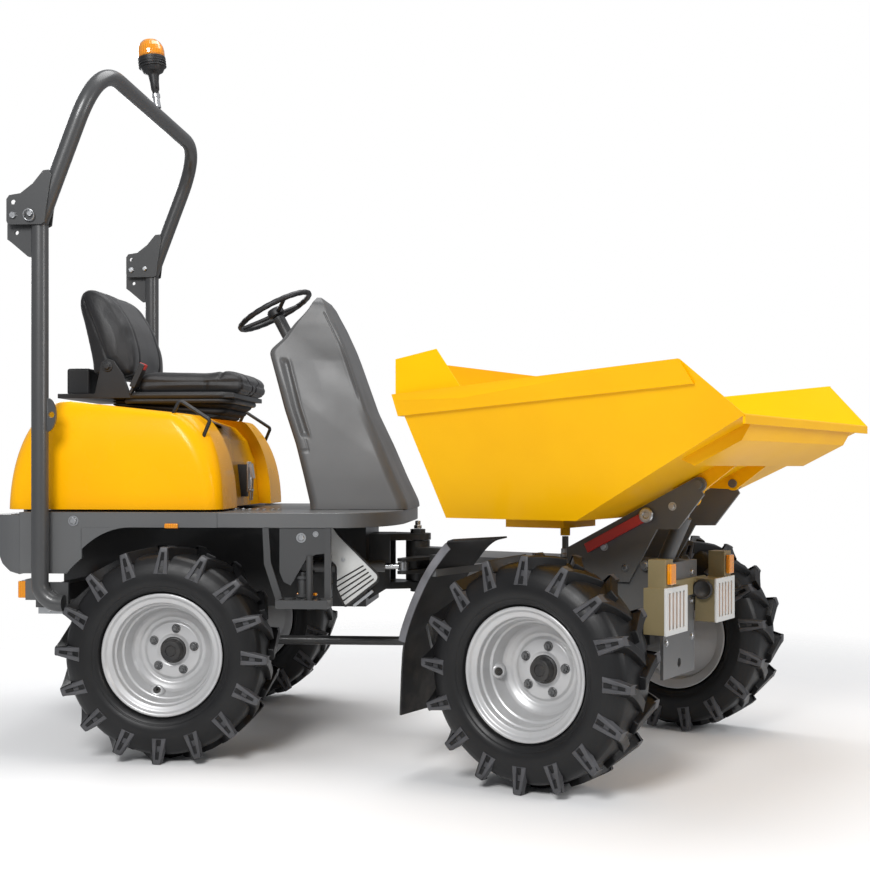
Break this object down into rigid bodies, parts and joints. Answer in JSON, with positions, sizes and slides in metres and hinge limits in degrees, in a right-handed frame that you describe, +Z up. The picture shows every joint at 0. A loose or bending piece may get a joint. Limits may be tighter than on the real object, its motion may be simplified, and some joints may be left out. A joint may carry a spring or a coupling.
{
  "type": "site dumper",
  "caption": "Small articulated site dumper with a front-tipping skip, centre pivot steering, seat over the engine and a folding roll bar.",
  "frame": {"origin": "middle of the footprint of the machine as it stands steered, on the ground", "axes": "+X to the front of the rear half, +Y to its left, +Z up; the front half is steered 27.8 degrees to the right at rest"},
  "size_m": [3.2142, 2.0656, 2.8053],
  "materials": {
    "amber_lens": "clear amber",
    "bellows_rubber": "matt black rubber",
    "black_plastic": "matt black",
    "black_vinyl": "grained black vinyl",
    "bright_steel": "bright steel",
    "cast_grey": "painted casting",
    "console_plastic": "grained dark grey",
    "dark_grey_paint": "matt dark grey paint",
    "dark_paint": "satin charcoal powder coat",
    "grey_paint": "satin charcoal paint",
    "hood_paint": "gloss golden yellow",
    "khaki_plastic": "matt olive grey",
    "red_paint": "satin red paint",
    "rim_silver": "satin silver paint",
    "skip_paint": "satin yellow paint",
    "tyre": "black rubber",
    "white_plastic": "matt white"
  },
  "bodies": {
    "rear": {"rear_chassis": "grey_paint", "rear_axle": "dark_paint", "engine_block": "cast_grey", "propshaft_rear": "dark_paint", "counterweight": "dark_grey_paint", "side_skirts": "grey_paint", "deck": "grey_paint", "steps": "dark_paint", "rear_lamps": "amber_lens", "rops_posts": "dark_paint", "console": "console_plastic", "steering_column": "dark_paint", "side_panel": "white_plastic"},
    "rops": {"rops_hoop": "dark_paint", "rops_pins": "bright_steel", "beacon_base": "black_plastic", "beacon_lens": "amber_lens"},
    "hood": {"hood": "hood_paint", "seat_bellows": "bellows_rubber", "seat_frame": "dark_grey_paint", "seat_cushion": "black_vinyl", "seat_back": "black_vinyl", "document_box": "black_plastic", "hood_handles": "black_plastic"},
    "steering_wheel": {"steering_wheel": "black_plastic"},
    "front": {"front_chassis": "grey_paint", "front_axle": "dark_paint", "propshaft_front": "dark_paint", "front_mudguards": "black_plastic", "lamp_boxes": "khaki_plastic", "lamp_grilles": "white_plastic", "indicators": "amber_lens", "safety_prop": "red_paint", "tipping_frame": "grey_paint"},
    "skip": {"skip": "skip_paint"},
    "tip_barrel": {"tip_barrel": "dark_grey_paint"},
    "tip_rod": {"tip_rod": "bright_steel"},
    "steer_barrel": {"steer_barrel": "dark_grey_paint"},
    "steer_rod": {"steer_rod": "bright_steel"},
    "wheel_rear_right": {"tyre_rear_right": "tyre", "rim_rear_right": "rim_silver"},
    "wheel_rear_left": {"tyre_rear_left": "tyre", "rim_rear_left": "rim_silver"},
    "wheel_front_right": {"tyre_front_right": "tyre", "rim_front_right": "rim_silver"},
    "wheel_front_left": {"tyre_front_left": "tyre", "rim_front_left": "rim_silver"}
  },
  "joints": [
    {"name": "articulation", "type": "hinge", "parent": "rear", "child": "front", "pos_m": [-0.11305, 0.30783, 0.65975], "axis": [0, 0, 1], "range_deg": [-5.2, 60.8]},
    {"name": "skip_tip", "type": "hinge", "parent": "front", "child": "skip", "pos_m": [0.99533, -0.27655, 0.97975], "axis": [0.4664, 0.8846, 0], "range_deg": [0, 72]},
    {"name": "hood_open", "type": "hinge", "parent": "rear", "child": "hood", "pos_m": [-1.57805, 0.30783, 0.87175], "axis": [0, -1, 0], "range_deg": [0, 55]},
    {"name": "rops_fold", "type": "hinge", "parent": "rear", "child": "rops", "pos_m": [-1.48705, 0.30783, 1.93175], "axis": [0, 1, 0], "range_deg": [-180, 0]},
    {"name": "steering_wheel_turn", "type": "hinge", "parent": "rear", "child": "steering_wheel", "pos_m": [-0.69105, 0.30783, 1.66575], "axis": [-0.4695, 0, 0.8829], "continuous": true},
    {"name": "tip_barrel_swing", "type": "hinge", "parent": "front", "child": "tip_barrel", "pos_m": [0.76268, -0.1539, 0.55975], "axis": [-0.4664, -0.8846, 0], "range_deg": [-1, 8.25]},
    {"name": "tip_rod_slide", "type": "slide", "parent": "tip_barrel", "child": "tip_rod", "axis": [0.3694, -0.1948, 0.9086], "range_m": [-0.002, 0.1214]},
    {"name": "steer_barrel_swing", "type": "hinge", "parent": "rear", "child": "steer_barrel", "pos_m": [-0.51305, 0.04783, 0.65975], "axis": [0, 0, 1], "range_deg": [-1.22, 3.59]},
    {"name": "steer_rod_slide", "type": "slide", "parent": "steer_barrel", "child": "steer_rod", "axis": [0.9922, 0.1246, 0], "range_m": [-0.021, 0.2236]},
    {"name": "wheel_rear_right_spin", "type": "hinge", "parent": "rear", "child": "wheel_rear_right", "pos_m": [-0.93805, 0.30783, 0.37975], "axis": [0, 1, 0], "continuous": true},
    {"name": "wheel_rear_left_spin", "type": "hinge", "parent": "rear", "child": "wheel_rear_left", "pos_m": [-0.93805, 0.30783, 0.37975], "axis": [0, 1, 0], "continuous": true},
    {"name": "wheel_front_right_spin", "type": "hinge", "parent": "front", "child": "wheel_front_right", "pos_m": [0.66095, -0.10026, 0.37975], "axis": [0.4664, 0.8846, 0], "continuous": true},
    {"name": "wheel_front_left_spin", "type": "hinge", "parent": "front", "child": "wheel_front_left", "pos_m": [0.66095, -0.10026, 0.37975], "axis": [0.4664, 0.8846, 0], "continuous": true}
  ],
  "couplings": [
    {"joint": "tip_barrel_swing", "follows": "skip_tip", "ratio": 0.10066},
    {"joint": "tip_rod_slide", "follows": "skip_tip", "m_per_rad": 0.095014},
    {"joint": "steer_barrel_swing", "follows": "articulation", "ratio": 0.042672},
    {"joint": "steer_rod_slide", "follows": "articulation", "m_per_rad": 0.20883}
  ]
}
